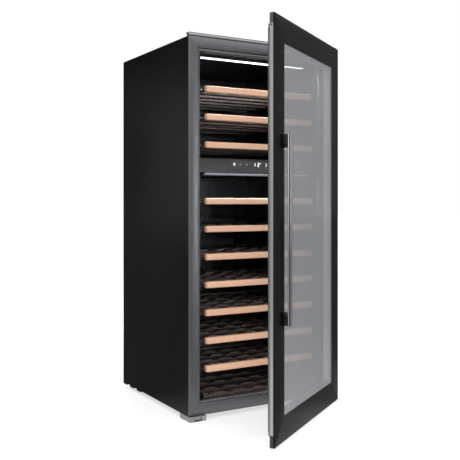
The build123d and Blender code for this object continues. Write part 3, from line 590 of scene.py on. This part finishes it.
def makeFront():
    # Section of a bar: share across its width against depth, with rounded outer and inner edges.
    low, high = nodeBox("front_frame")
    lipLow, lipHigh = nodeBox("breaker_strip")
    corner = roundedCorner(frontLook["edge"] * mm, lipLow[0] - low[0], low[1])
    section = np.concatenate([[(0, high[1])], corner, mirrored(corner), [(1, high[1])]])
    widths = (lipLow[0] - low[0], high[0] - lipHigh[0], lipLow[2] - low[2], high[2] - lipHigh[2])
    bars = pictureFrame((low[0], low[2]), (high[0], high[2]), widths, section)
    makePiece("front_frame_bars", bars, [frameSteel], "cabinet", ["front_frame"])

    # The lip stands behind a dark gap, with its face rolled inwards.
    gap, skin = frontLook["lipGap"] * mm, frontLook["linerSkin"] * mm
    linerLow, linerHigh = nodeBox("inner_liner")
    across = linerLow[0] + skin - lipLow[0]
    gapFloor = lipHigh[1] - frontLook["gapFloor"] * mm
    section = np.concatenate([
        [(0, lipHigh[1]), (0, gapFloor), (gap / across, gapFloor),
         (gap / across, lipLow[1] + 0.5 * gap), (1.5 * gap / across, lipLow[1])],
        mirrored(roundedCorner(frontLook["lipRound"] * mm, across, lipLow[1])), [(1, lipHigh[1])]])
    floor, roof = linerLow[2] + skin, linerHigh[2] - skin
    widths = (across, across, floor - lipLow[2], lipHigh[2] - roof)
    bars = pictureFrame((lipLow[0], lipLow[2]), (lipHigh[0], lipHigh[2]), widths, section)
    makePiece("breaker_strip_lips", bars, [lipPlastic], "cabinet", ["breaker_strip"])


def makeTrim():
    # A metal band between a dark seal on top and a gap below, carried along X; the black block at the back
    # of the gap is painted shade for the gap's shadow.
    low, high = nodeBox("top_trim_strip")
    seal, gap, tuck, overlap = (trimLook[key] * mm for key in ("seal", "gap", "tuck", "overlap"))
    back = low[1] + trimLook["depth"] * mm
    band = roundedBlock((low[0], low[1], low[2] + gap), (high[0], back, high[2] - seal),
                        trimLook["bandRound"] * mm)
    # Black block at the back of the gap: painted shade standing in for the gap's shadow.
    base = roundedBlock((low[0] + mm, low[1] + tuck, low[2] - 2 * overlap),
                        (high[0], back, low[2] + gap + overlap), overlap, finish=1)
    top = roundedBlock((low[0] + 2 * overlap, low[1] + 3 * overlap, high[2] - seal - overlap),
                       (high[0], high[1], high[2]), trimLook["sealRound"] * mm, finish=1)
    finishes = [trimMetal, blackPlastic]
    makePiece("top_trim_band", [band, base, top], finishes, "cabinet", ["top_trim_strip"])


makeFront()
makeTrim()
print("front frame, lip and trim made")

shelfLook = {"frontRound": 3.0, "frontHalf": 210.5, "frontBack": 18, "railIn": 203, "railOut": 210,
             "railDepth": 18.5, "deckDrop": 6, "rearRail": 16, "tongueStart": 8, "tongueHeights": (-17, -10),
             "slatRound": 1.6, "slatWidth": 24, "slatRise": 10, "pitch": 73, "across": 6, "bottleRadius": 38,
             "cradle": 6, "longDepth": 350, "rackRail": 16, "rackPitch": 70, "rackDeck": 14, "samples": 181}


def cradleSlat(yFront, low, deck, halfLength, finish=0):
    # Top edge: deck, or the bottle's circle deck - cradle + R - sqrt(R^2 - (x - x0)^2) where it is lower.
    radius, bend = shelfLook["bottleRadius"] * mm, shelfLook["slatRound"] * mm
    x = np.linspace(-halfLength, halfLength, shelfLook["samples"])
    pitch, count = shelfLook["pitch"] * mm, shelfLook["across"]
    middles = pitch * (np.arange(count) - (count - 1) / 2)
    offset = np.abs(x[:, None] - middles).min(1)
    scoop = deck - shelfLook["cradle"] * mm + radius - np.sqrt(radius**2 - np.minimum(offset, radius) ** 2)
    topEdge = np.minimum(deck, scoop)
    rise = shelfLook["slatRise"] * mm
    profile = roundedProfile((yFront, 0), (yFront + shelfLook["slatWidth"] * mm, rise), bend)
    upper = profile[:, 1] > rise / 2
    z = np.where(upper, topEdge[:, None] - (rise - profile[:, 1]), low + profile[:, 1])
    return sweep(np.stack([x[:, None] + 0 * z, profile[:, 0] + 0 * z, z], 2), alongX, finish)


def makeShelf(name):
    # Front strip, two side rails with their sliding tongues, a rear rail and the scooped cross slats;
    # gap between slats = (depth - count * width) / (count + 1).
    low, high = nodeBox(name)
    bend, width, rear = (shelfLook[key] * mm for key in ("slatRound", "slatWidth", "rearRail"))
    railIn, railOut, frontHalf = (shelfLook[key] * mm for key in ("railIn", "railOut", "frontHalf"))
    tongueLow, tongueHigh = (high[2] + z * mm for z in shelfLook["tongueHeights"])
    frontBack = low[1] + shelfLook["frontBack"] * mm
    tongueFront = frontBack + shelfLook["tongueStart"] * mm
    rack = high[2] - shelfLook["railDepth"] * mm
    deck = high[2] - shelfLook["deckDrop"] * mm
    parts = [roundedBlock((-frontHalf, low[1], low[2]), (frontHalf, frontBack, high[2]),
                          shelfLook["frontRound"] * mm, steps=5)]
    for side in (-1, 1):
        x0, x1 = sorted((side * railIn, side * railOut))
        parts.append(roundedBlock((x0, frontBack, rack), (x1, high[1], deck), bend, alongY, 1))
        x0, x1 = sorted((side * (railOut - mm), side * high[0]))
        parts.append(roundedBlock((x0, tongueFront, tongueLow), (x1, high[1], tongueHigh), bend, alongY, 1))
    parts.append(roundedBlock((-railIn, high[1] - rear, rack), (railIn, high[1], deck), bend, alongX, 1))
    depth = high[1] - rear - frontBack
    count = 5 if depth > shelfLook["longDepth"] * mm else 4
    gap = (depth - width * count) / (count + 1)
    for number in range(count):
        slatFront = frontBack + gap * (number + 1) + width * number
        parts.append(cradleSlat(slatFront, rack, deck, railIn + mm, 1))
    # Rails, tongues and slats take the dark beech, painted shade for plain beech in shadow.
    makePiece(name + "_boards", parts, [beech, paintedShadeBeech], name, [name])


def makeBottomRack():
    # Two runners along the floor of the room carry four scooped slats, one every rackPitch.
    low, high = nodeBox("bottom_rack")
    bend, pitch, deck = (shelfLook[key] * mm for key in ("slatRound", "rackPitch", "rackDeck"))
    railIn = high[0] - shelfLook["rackRail"] * mm
    parts = []
    for side in (-1, 1):
        x0, x1 = sorted((side * railIn, side * high[0]))
        parts.append(roundedBlock((x0, low[1], low[2]), (x1, high[1], high[2]), bend, alongY))
    for number in range(4):
        parts.append(cradleSlat(low[1] + pitch * number, low[2], low[2] + deck, railIn + mm))
    # Runners and slats take the dark beech, painted shade for plain beech in shadow.
    makePiece("bottom_rack_boards", parts, [paintedShadeBeech], "cabinet", ["bottom_rack"])


for number in range(1, 11):
    makeShelf(f"shelf_{number:02d}")
makeBottomRack()
print("shelves made")

# Lamp rows are front and back places from the cabinet's middle; heights are measured from each bar.
lightLook = {"upperHalf": 203, "lowerHalf": 209, "upperRows": (-225, -209), "upperHeights": (-11, -6),
             "lowerRows": (-247, -239), "lowerHeights": (-0.4, 2.5), "lineRows": (-249.6, -248.9),
             "lineHeights": (2.4, 4.4), "upperRound": 1.2, "lowerRound": 0.3}


def lensBlock(key, rowsKey, base, finish=0):
    # A long rounded block from the look's rows and heights: half length key, front to back, low to high.
    half, bend = lightLook[key + "Half"] * mm, lightLook[key + "Round"] * mm
    front, back = (y * mm for y in lightLook[rowsKey + "Rows"])
    bottom, top = (base + z * mm for z in lightLook[rowsKey + "Heights"])
    return roundedBlock((-half, front, bottom), (half, back, top), bend, finish=finish)


def makeLights():
    # A lens with a rounded belly fills the groove of each bar, and a thin bright line edges the lower one.
    ceiling = nodeBox("inner_liner")[1][2] - frontLook["linerSkin"] * mm
    upper = lensBlock("upper", "upper", ceiling)
    makePiece("upper_light_lens", [upper], [barLight], "cabinet")
    floor = nodeBox("led_bars")[0][2]
    lower = [lensBlock("lower", "lower", floor), lensBlock("lower", "line", floor, 1)]
    makePiece("lower_light_lens", lower, [dimLight, lineLight], "cabinet")


def flatPart(profile, middle, thickness, finish=0):
    # A flat outline of (x, z) raised towards the front.
    x, z = np.array(profile, float).T
    depths = (middle[1], middle[1] - thickness)
    stations = [np.stack([x + middle[0], 0 * x + y, z + middle[2]], 1) for y in depths]
    return sweep(np.stack(stations), alongX, finish)


def ringPart(radius, stroke, start, stop, middle, thickness, finish=0, steps=28):
    # An open ring: outer arc, then the inner arc back.
    angle = np.radians(np.linspace(start, stop, steps))
    outer = np.stack([np.cos(angle), np.sin(angle)], 1) * radius
    inner = np.stack([np.cos(angle), np.sin(angle)], 1)[::-1] * (radius - stroke)
    return flatPart(np.concatenate([outer, inner]), middle, thickness, finish)


def barPart(x, z, width, height, middle, thickness, finish=0):
    # A stroke with its lower left corner at (x, z) and corners of 0.3 of its thinner side.
    outline = roundedProfile((x, z), (x + width, z + height), min(width, height) * 0.3, 2)
    return flatPart(outline, middle, thickness, finish)


markLook = {"places": (-108, -85, -60), "digits": ((-34, 1), (-18, 2), (10, 1), (26, 6)), "height": 13,
            "width": 7, "stroke": 1.5, "raise": 0.02, "thick": 0.08, "powerRing": (3.6, 1.1),
            "powerStroke": (-0.5, 0.6, 1.1, 4.4), "lampRing": (2.6, 0.7),
            "lampStroke": (-1.3, -4.2, 2.6, 0.8), "arrowHalf": 2.6, "arrowNear": 0.6, "arrowFar": 3.6,
            "degreeRing": (1.5, 0.6), "degreeAt": (12, 4.6)}
segmentsOf = {1: "bc", 2: "abged", 6: "acdefg"}


def makeMarks():
    # Power ring, lamp and arrow marks, then two pairs of seven-stroke digits with their degree rings.
    low, high = nodeBox("display_window")
    face, middle = low[1] - markLook["raise"] * mm, (low[2] + high[2]) / 2
    thick = markLook["thick"] * mm
    power, lamp, arrow = ((x * mm, face, middle) for x in markLook["places"])
    shapeKeys = ("powerRing", "powerStroke", "lampRing", "lampStroke")
    sized = {key: np.array(markLook[key]) * mm for key in shapeKeys}
    side, near, far = (markLook[key] * mm for key in ("arrowHalf", "arrowNear", "arrowFar"))
    parts = [
        ringPart(*sized["powerRing"], 125, 415, power, thick),
        barPart(*sized["powerStroke"], power, thick),
        ringPart(*sized["lampRing"], -60, 240, lamp, thick, 1),
        barPart(*sized["lampStroke"], lamp, thick, 1),
        flatPart([(-side, near), (0, far), (side, near)], arrow, thick, 1),
        flatPart([(-side, -near), (side, -near), (0, -far)], arrow, thick, 1),
    ]
    tall, wide, stroke = (markLook[key] * mm for key in ("height", "width", "stroke"))
    half = tall / 2
    inside, limb, right = wide - 2 * stroke, half - 1.5 * stroke, wide - stroke
    strokes = {
        "a": (stroke, half - stroke, inside, stroke), "g": (stroke, -stroke / 2, inside, stroke),
        "d": (stroke, -half, inside, stroke), "b": (right, stroke / 2, stroke, limb),
        "c": (right, stroke - half, stroke, limb), "f": (0, stroke / 2, stroke, limb),
        "e": (0, stroke - half, stroke, limb),
    }
    for x, digit in markLook["digits"]:
        at = (x * mm, face, middle)
        parts += [barPart(*strokes[key], at, thick) for key in segmentsOf[digit]]
    across, up = (value * mm for value in markLook["degreeAt"])
    radius, line = (value * mm for value in markLook["degreeRing"])
    for x, _ in markLook["digits"][1::2]:
        at = (x * mm + across, face, middle + up)
        parts.append(ringPart(radius, line, 0, 350, at, thick))
    makePiece("panel_marks", parts, [markLight, dimMark], "cabinet")


makeLights()
makeMarks()
print("lights and display made")

hinge = next(joint for joint in frame["joints"] if joint["name"] == "door_hinge")
openAngle = -np.radians(hinge["range_deg"][0])
axis = np.array(hinge["pos_m"], float)
alongDoor = np.array([np.cos(openAngle), np.sin(openAngle), 0])
outOfDoor = np.array([np.sin(openAngle), -np.cos(openAngle), 0])


def onDoor(points):
    # The door's own directions: first along it from the hinge, second backwards into the room, third up.
    base = np.array([axis[0], axis[1], 0])
    upward = points[:, 2:] * np.array([0, 0, 1])
    return base + points[:, :1] * alongDoor - points[:, 1:2] * outOfDoor + upward


def doorBox(name):
    # Lowest and highest corner of a door node in the door's own directions.
    mesh = frame["nodes"][name].data
    points = np.empty(len(mesh.vertices) * 3)
    mesh.vertices.foreach_get("co", points)
    offset = points.reshape(-1, 3) - np.array([axis[0], axis[1], 0])
    local = np.stack([offset @ alongDoor, -(offset @ outOfDoor), offset[:, 2]], 1)
    return local.min(0), local.max(0)


doorLook = {"glassEdge": 0.7, "border": 75, "paneGap": 0.05, "cornerCap": 30, "topCap": 20,
            "profileWidth": 25, "profileRound": 0.7, "groove": 1.2, "holeRadius": 2.6, "holeDepth": 0.25,
            "holeDrop": 5, "linerInset": 24, "linerTaper": 2, "linerRound": 1, "gasketWidth": 14}


def makeDoorGlass():
    # A dark ring with rounded edges round the clear window, both in the plane of the outer glass.
    low, high = doorBox("outer_glass")
    border = doorLook["border"] * mm
    corner = roundedCorner(doorLook["glassEdge"] * mm, border, low[1])
    section = np.concatenate([[(0, high[1])], corner, [(1, low[1]), (1, high[1])]])
    ring = pictureFrame((low[0], low[2]), (high[0], high[2]), (border,) * 4, section)
    makePiece("door_glass_border", ring, [blackGlass], "door", ["outer_glass"], onDoor)
    gap = doorLook["paneGap"] * mm
    inset = border + gap
    pane = roundedBlock((low[0] + inset, low[1], low[2] + inset),
                        (high[0] - inset, high[1], high[2] - inset), gap, steps=1)
    makePiece("door_glass_window", [pane], [windowGlass], "door", (), onDoor)


def makeProfiles():
    # Brushed side profiles with a shallow groove: groove depth 0.6 g, from g to 2 g behind the middle.
    low, high = doorBox("door_side_profiles")
    capTop = doorBox("outer_glass")[1][2]
    cap, width, groove = (doorLook[key] * mm for key in ("cornerCap", "profileWidth", "groove"))
    bend = doorLook["profileRound"] * mm
    middle = (low[1] + high[1]) / 2
    hingeTop = capTop - doorLook["topCap"] * mm
    parts = []
    for outer, inward, top in ((low[0], 1, capTop - cap), (high[0], -1, hingeTop)):
        far = outer + inward * width
        bottom = outer + inward * groove * 0.6
        section = np.array([
            (far, low[1]), (outer + inward * bend, low[1]), (outer, low[1] + bend),
            (outer, middle + groove), (bottom, middle + groove * 1.25), (bottom, middle + groove * 1.75),
            (outer, middle + groove * 2), (outer, high[1] - bend), (outer + inward * bend, high[1]),
            (far, high[1])])
        stations = np.stack([np.column_stack([section, np.full(len(section), z)]) for z in (low[2], top)])
        parts.append(sweep(stations, alongZ))
    # A flat dark disc, a little proud of the outer face, stands in for a hole: painted shade of the hole.
    radius, depth = doorLook["holeRadius"] * mm, doorLook["holeDepth"] * mm
    centre = (low[0] + 0.05 * mm, middle, capTop - cap - doorLook["holeDrop"] * mm)
    outline = [(0.01 * mm, 0), (radius, 0), (radius, -depth), (0.01 * mm, -depth)]
    parts.append(turned(outline, centre, "x", finish=1))
    finishes = [aluminium, rubberSeal]
    makePiece("door_profiles", parts, finishes, "door", ["door_side_profiles"], onDoor)


def makeLinerAndGasket():
    # The liner tapers inwards; the gasket is a bellows with a round magnet bead of half the depth.
    low, high = doorBox("door_liner")
    width = (doorLook["border"] - doorLook["linerInset"]) * mm
    slope, bend = doorLook["linerTaper"] * mm, doorLook["linerRound"] * mm
    taper = slope / width
    section = np.array([(0, low[1]), (0.2 * taper, high[1] - slope), (taper, high[1]), (0.98, high[1]),
                        (1, high[1] - bend), (1, low[1])])
    bars = pictureFrame((low[0], low[2]), (high[0], high[2]), (width,) * 4, section)
    makePiece("door_liner_moulding", bars, [linerGrey], "door", ["door_liner"], onDoor)

    low, high = doorBox("door_gasket")
    depth = high[1] - low[1]
    neck, shoulder = low[1] + 0.28 * depth, low[1] + 0.42 * depth
    angle = np.linspace(-np.pi / 2, np.pi / 2, 9)
    bead = np.stack([0.5 + 0.42 * np.sin(angle), high[1] - 0.45 * depth + 0.45 * depth * np.cos(angle)], 1)
    section = np.concatenate([[(0.22, low[1]), (0.3, neck), (0.06, shoulder)], bead,
                              [(0.94, shoulder), (0.7, neck), (0.78, low[1])]])
    bars = pictureFrame((low[0], low[2]), (high[0], high[2]), (doorLook["gasketWidth"] * mm,) * 4, section)
    makePiece("door_gasket_bellows", bars, [rubberSeal], "door", ["door_gasket"], onDoor)


# Layers are shares of the bar's depth, from its face back to the posts.
handleLook = {"face": (0, 0.12), "core": (0.1, 0.6), "back": (0.58, 1), "coreInset": 0.3, "coreShort": 0.2,
              "faceRound": 0.5, "coreRound": 0.2, "backRound": 0.9, "postHeight": 39, "postRound": 1.2}


def makeHandle():
    # A light back bar and face plate with a dark core between them, on two glossy posts.
    low, high = doorBox("handle_bar")
    inset, short = handleLook["coreInset"] * mm, handleLook["coreShort"] * mm
    layers = []
    for key, side, end, finish in (("face", 0, 0, 0), ("core", inset, short, 1), ("back", 0, 0, 0)):
        front, back = (low[1] + share * (high[1] - low[1]) for share in handleLook[key])
        layers.append(roundedBlock((low[0] + side, front, low[2] + end),
                                   (high[0] - side, back, high[2] - end),
                                   handleLook[key + "Round"] * mm, alongZ, finish))
    finishes = [barSteel, blackPlastic]
    makePiece("handle_bar_layers", layers, finishes, "door", ["handle_bar"], onDoor)

    low, high = doorBox("handle_posts")
    tall, bend = handleLook["postHeight"] * mm, handleLook["postRound"] * mm
    posts = [roundedBlock((low[0], low[1], z), (high[0], high[1], z + tall), bend, alongZ)
             for z in (low[2], high[2] - tall)]
    makePiece("handle_posts_glossy", posts, [postGloss], "door", ["handle_posts"], onDoor)


makeDoorGlass()
makeProfiles()
makeLinerAndGasket()
makeHandle()
# The upper end caps are grey and the lower one is bluish black.
caps = edgedCopy("door_end_caps", "door_end_caps_edged", capPlastic, 0.6).data
caps.materials.append(cornerGrey)
centres = np.empty(len(caps.polygons) * 3)
caps.polygons.foreach_get("center", centres)
caps.polygons.foreach_set("material_index", (centres[2::3] > 0.5 * cadBox[1][2]).astype(np.int32))
print("door made")

edgedCopy("foot_bracket_left", "foot_bracket_left_edged", screwSteel, 0.5)
edgedCopy("hinge_bracket_bottom", "hinge_bracket_bottom_edged", screwSteel, 0.4)
edgedCopy("hinge_bracket_top", "hinge_bracket_top_edged", screwSteel, 0.4)
edgedCopy("control_panel", "control_panel_edged", panelGloss, 0.3)
edgedCopy("power_inlet", "power_inlet_edged", blackPlastic, 0.3)
print("feet and small parts made")


# Light levels, in the world's own units: the floor's glow, the walls of light and the lamps' watts.
studio = {"pool": 0.6, "floorFront": 0.3, "floorBack": 0.15, "shadow": 0.4, "front": 0.95, "back": 0.03,
          "sky": 1.5, "key": 40.0, "soft": 36.0, "upperRoom": 2.2, "lowerRoom": 1.6, "side": 2.2,
          "rear": 45.0, "floorHalf": 30.0, "roomTint": (0.86, 0.93, 1.0)}
# Where the camera stands (metres), how far it turns to the right (degrees) and its lens (mm).
cameraLook = {"place": (-1.3592, -2.3769, 0.7004), "turn": 30.348, "sensor": 36, "lens": 58.52,
              "shift": -0.0628}


def makeFloor():
    # A flat square, white where it is seen; to the object it glows front * (1 - fade to the back).
    half = studio["floorHalf"]
    mesh = bpy.data.meshes.new("floor")
    corners = [(-half, -half, 0), (half, -half, 0), (half, half, 0), (-half, half, 0)]
    mesh.from_pydata(corners, [], [(0, 1, 2, 3)])
    floor = bpy.data.objects.new("floor", mesh)
    bpy.context.scene.collection.objects.link(floor)
    material = paintedFinish("floorPaint", (250,), (254,), (0.55, 0.7), cloud=1.5, peel=80.0, bump=0.02,
                             dust=0.0)
    tree = material.node_tree
    seen = node(tree, "ShaderNodeLightPath").outputs["Is Camera Ray"]
    split = node(tree, "ShaderNodeSeparateXYZ", {0: objectPlace(tree)}).outputs
    besides = spread(tree, split[0], 0.1, 0.3, studio["pool"], 0.0)
    nearby = math(tree, "MULTIPLY", besides, spread(tree, split[1], -1.1, -0.85))
    front = math(tree, "ADD", nearby, studio["floorFront"])
    glow = math(tree, "MULTIPLY", front, spread(tree, split[1], -0.3, 0.1, 1.0, studio["floorBack"]))
    shade = node(tree, "ShaderNodeEmission", {"Color": glow})
    white = node(tree, "ShaderNodeEmission", {"Color": (1.0, 1.0, 1.0, 1.0)})
    painted = node(tree, "ShaderNodeMixShader", {0: studio["shadow"], 1: white.outputs[0],
                   2: tree.nodes["Principled BSDF"].outputs[0]})
    both = node(tree, "ShaderNodeMixShader", {0: seen, 1: shade.outputs[0], 2: painted.outputs[0]})
    tree.links.new(both.outputs[0], tree.nodes["Material Output"].inputs["Surface"])
    mesh.materials.append(material)


def makeWorld():
    # Seen directly it is white; as light it is front to back along Y, plus sky from height 0.3 to 0.75.
    world = bpy.data.worlds.new("studio")
    world.use_nodes = True
    bpy.context.scene.world = world
    tree = world.node_tree
    back = tree.nodes["Background"]
    back.inputs["Strength"].default_value = 1.0
    direction = node(tree, "ShaderNodeTexCoord").outputs["Generated"]
    split = node(tree, "ShaderNodeSeparateXYZ", {0: direction}).outputs
    around = spread(tree, split[1], -0.6, 0.6, studio["front"], studio["back"])
    above = spread(tree, split[2], 0.3, 0.75, 0.0, studio["sky"])
    level = math(tree, "ADD", around, above)
    seen = node(tree, "ShaderNodeLightPath").outputs["Is Camera Ray"]
    light = node(tree, "ShaderNodeCombineXYZ", {0: level, 1: level, 2: level}).outputs[0]
    tree.links.new(blendColour(tree, seen, light, (1.0, 1.0, 1.0, 1.0)), back.inputs["Color"])


def makeAreaLight(name, place, aim, size, power, colour=(1.0, 1.0, 1.0)):
    # A rectangle of light at place that faces along aim - place.
    light = bpy.data.lights.new(name, "AREA")
    light.shape = "RECTANGLE"
    light.size, light.size_y = size
    light.energy = power
    light.color = colour
    lamp = bpy.data.objects.new(name, light)
    bpy.context.scene.collection.objects.link(lamp)
    lamp.location = place
    direction = bpy.context.scene.cursor.location.copy()
    direction[:] = [b - a for a, b in zip(place, aim)]
    lamp.rotation_euler = direction.to_track_quat("-Z", "Y").to_euler()
    return lamp


def makeCamera():
    # Level camera: turned about Z by the look's angle after lying down to face along Y.
    data = bpy.data.cameras.new("camera")
    data.sensor_width = cameraLook["sensor"]
    data.lens = cameraLook["lens"]
    data.shift_y = cameraLook["shift"]
    camera = bpy.data.objects.new("camera", data)
    bpy.context.scene.collection.objects.link(camera)
    camera.location = cameraLook["place"]
    camera.rotation_euler = (np.pi / 2, 0, -np.radians(cameraLook["turn"]))
    bpy.context.scene.camera = camera


makeFloor()
makeWorld()
makeAreaLight("softLight", (1.76, -3.72, 0.78), (-0.26, -0.27, 0.72), (1.6, 0.9), studio["soft"])
makeAreaLight("keyLight", (-2.2, -3.4, 2.6), (0, 0, 0.7), (2.5, 2.5), studio["key"])
room = nodeBox("inner_liner")[1]
makeAreaLight("upperRoomLight", (0, -0.217, room[2] - 0.016), (0, -0.1, 0), (0.40, 0.012),
              studio["upperRoom"], studio["roomTint"])
makeAreaLight("lowerRoomLight", (0, -0.243, 0.784), (0, -0.1, 0), (0.40, 0.008),
              studio["lowerRoom"], studio["roomTint"])
sideLight = makeAreaLight("sideLight", (-1.36, 1.5, 0.95), (0, 1.3, 0.85), (1.1, 0.9), studio["side"])
rearLight = makeAreaLight("rearLight", (0.9, 2.6, 1.8), (0, 0.27, 0.6), (1.4, 1.4), studio["rear"])
for lamp in (sideLight, rearLight):
    lamp.visible_camera = False
makeCamera()
bpy.context.scene.view_settings.view_transform = "Standard"
print("stage, lights and camera made")
